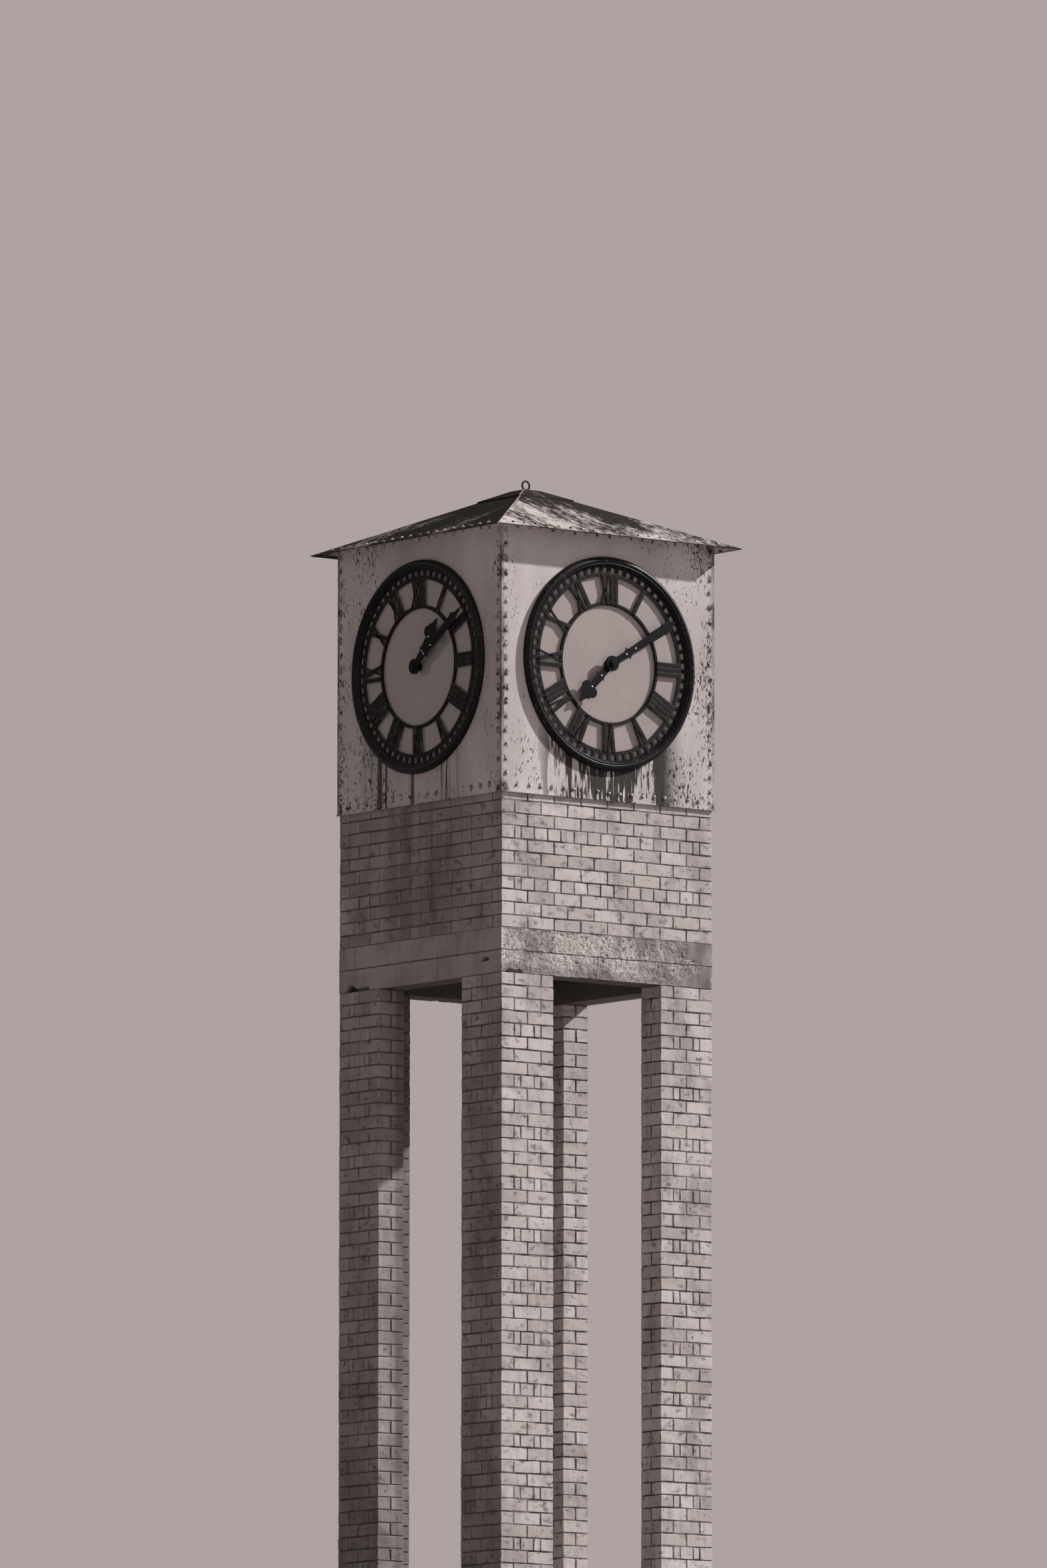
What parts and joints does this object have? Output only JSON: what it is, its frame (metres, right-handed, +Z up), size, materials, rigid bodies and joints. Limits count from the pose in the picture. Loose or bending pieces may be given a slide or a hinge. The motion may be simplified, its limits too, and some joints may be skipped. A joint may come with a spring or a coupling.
{
  "type": "clock tower",
  "caption": "Square clock tower: brick corner piers carry a concrete ring, brick walls and a riveted steel case with a skeleton dial in each face.",
  "frame": {"origin": "on the ground, on the tower's vertical axis", "axes": "+Z up; -Y is the front, +X is to the right as seen from the front"},
  "size_m": [2.1296, 2.1296, 7.7551],
  "materials": {
    "painted_brick": "weathered masonry paint on brick",
    "concrete": "board-marked concrete, painted",
    "case_steel": "weathered gloss paint with rust at the rivets",
    "roof_steel": "weathered paint with dirt and moss",
    "eye_steel": "rusted paint",
    "dial_iron": "black paint",
    "opal_glass": "glossy opal",
    "bush_brass": "tarnished",
    "hand_paint": "black paint"
  },
  "bodies": {
    "tower": {"pier_front_left": "painted_brick", "pier_front_right": "painted_brick", "pier_back_right": "painted_brick", "pier_back_left": "painted_brick", "ring_beam": "concrete", "brick_wall_front": "painted_brick", "brick_wall_right": "painted_brick", "brick_wall_back": "painted_brick", "brick_wall_left": "painted_brick", "case_base_frame": "case_steel", "case_plate_front": "case_steel", "case_plate_right": "case_steel", "case_plate_back": "case_steel", "case_plate_left": "case_steel", "corner_angles": "case_steel", "eave_frame": "case_steel", "roof_panel_front": "roof_steel", "roof_panel_right": "roof_steel", "roof_panel_back": "roof_steel", "roof_panel_left": "roof_steel", "roof_cap": "roof_steel", "lifting_eye": "eye_steel", "dial_front": "dial_iron", "dial_glass_front": "opal_glass", "dial_bush_front": "bush_brass", "dial_right": "dial_iron", "dial_glass_right": "opal_glass", "dial_bush_right": "bush_brass", "dial_back": "dial_iron", "dial_glass_back": "opal_glass", "dial_bush_back": "bush_brass", "dial_left": "dial_iron", "dial_glass_left": "opal_glass", "dial_bush_left": "bush_brass"},
    "minute_hand_front": {"minute_hand_front": "hand_paint"},
    "hour_hand_front": {"hour_hand_front": "hand_paint"},
    "minute_hand_right": {"minute_hand_right": "hand_paint"},
    "hour_hand_right": {"hour_hand_right": "hand_paint"},
    "minute_hand_back": {"minute_hand_back": "hand_paint"},
    "hour_hand_back": {"hour_hand_back": "hand_paint"},
    "minute_hand_left": {"minute_hand_left": "hand_paint"},
    "hour_hand_left": {"hour_hand_left": "hand_paint"}
  },
  "joints": [
    {"name": "minute_turn_front", "type": "hinge", "parent": "tower", "child": "minute_hand_front", "pos_m": [0, -0.927, 6.3785], "axis": [0, 1, 0], "continuous": true},
    {"name": "hour_turn_front", "type": "hinge", "parent": "tower", "child": "hour_hand_front", "pos_m": [0, -0.927, 6.3785], "axis": [0, 1, 0], "continuous": true},
    {"name": "minute_turn_right", "type": "hinge", "parent": "tower", "child": "minute_hand_right", "pos_m": [0.927, 0, 6.3785], "axis": [-1, 0, 0], "continuous": true},
    {"name": "hour_turn_right", "type": "hinge", "parent": "tower", "child": "hour_hand_right", "pos_m": [0.927, 0, 6.3785], "axis": [-1, 0, 0], "continuous": true},
    {"name": "minute_turn_back", "type": "hinge", "parent": "tower", "child": "minute_hand_back", "pos_m": [0, 0.927, 6.3785], "axis": [0, -1, 0], "continuous": true},
    {"name": "hour_turn_back", "type": "hinge", "parent": "tower", "child": "hour_hand_back", "pos_m": [0, 0.927, 6.3785], "axis": [0, -1, 0], "continuous": true},
    {"name": "minute_turn_left", "type": "hinge", "parent": "tower", "child": "minute_hand_left", "pos_m": [-0.927, 0, 6.3785], "axis": [1, 0, 0], "continuous": true},
    {"name": "hour_turn_left", "type": "hinge", "parent": "tower", "child": "hour_hand_left", "pos_m": [-0.927, 0, 6.3785], "axis": [1, 0, 0], "continuous": true}
  ],
  "couplings": [
    {"joint": "hour_turn_front", "follows": "minute_turn_front", "ratio": 0.083333},
    {"joint": "hour_turn_right", "follows": "minute_turn_right", "ratio": 0.083333},
    {"joint": "hour_turn_back", "follows": "minute_turn_back", "ratio": 0.083333},
    {"joint": "hour_turn_left", "follows": "minute_turn_left", "ratio": 0.083333}
  ]
}
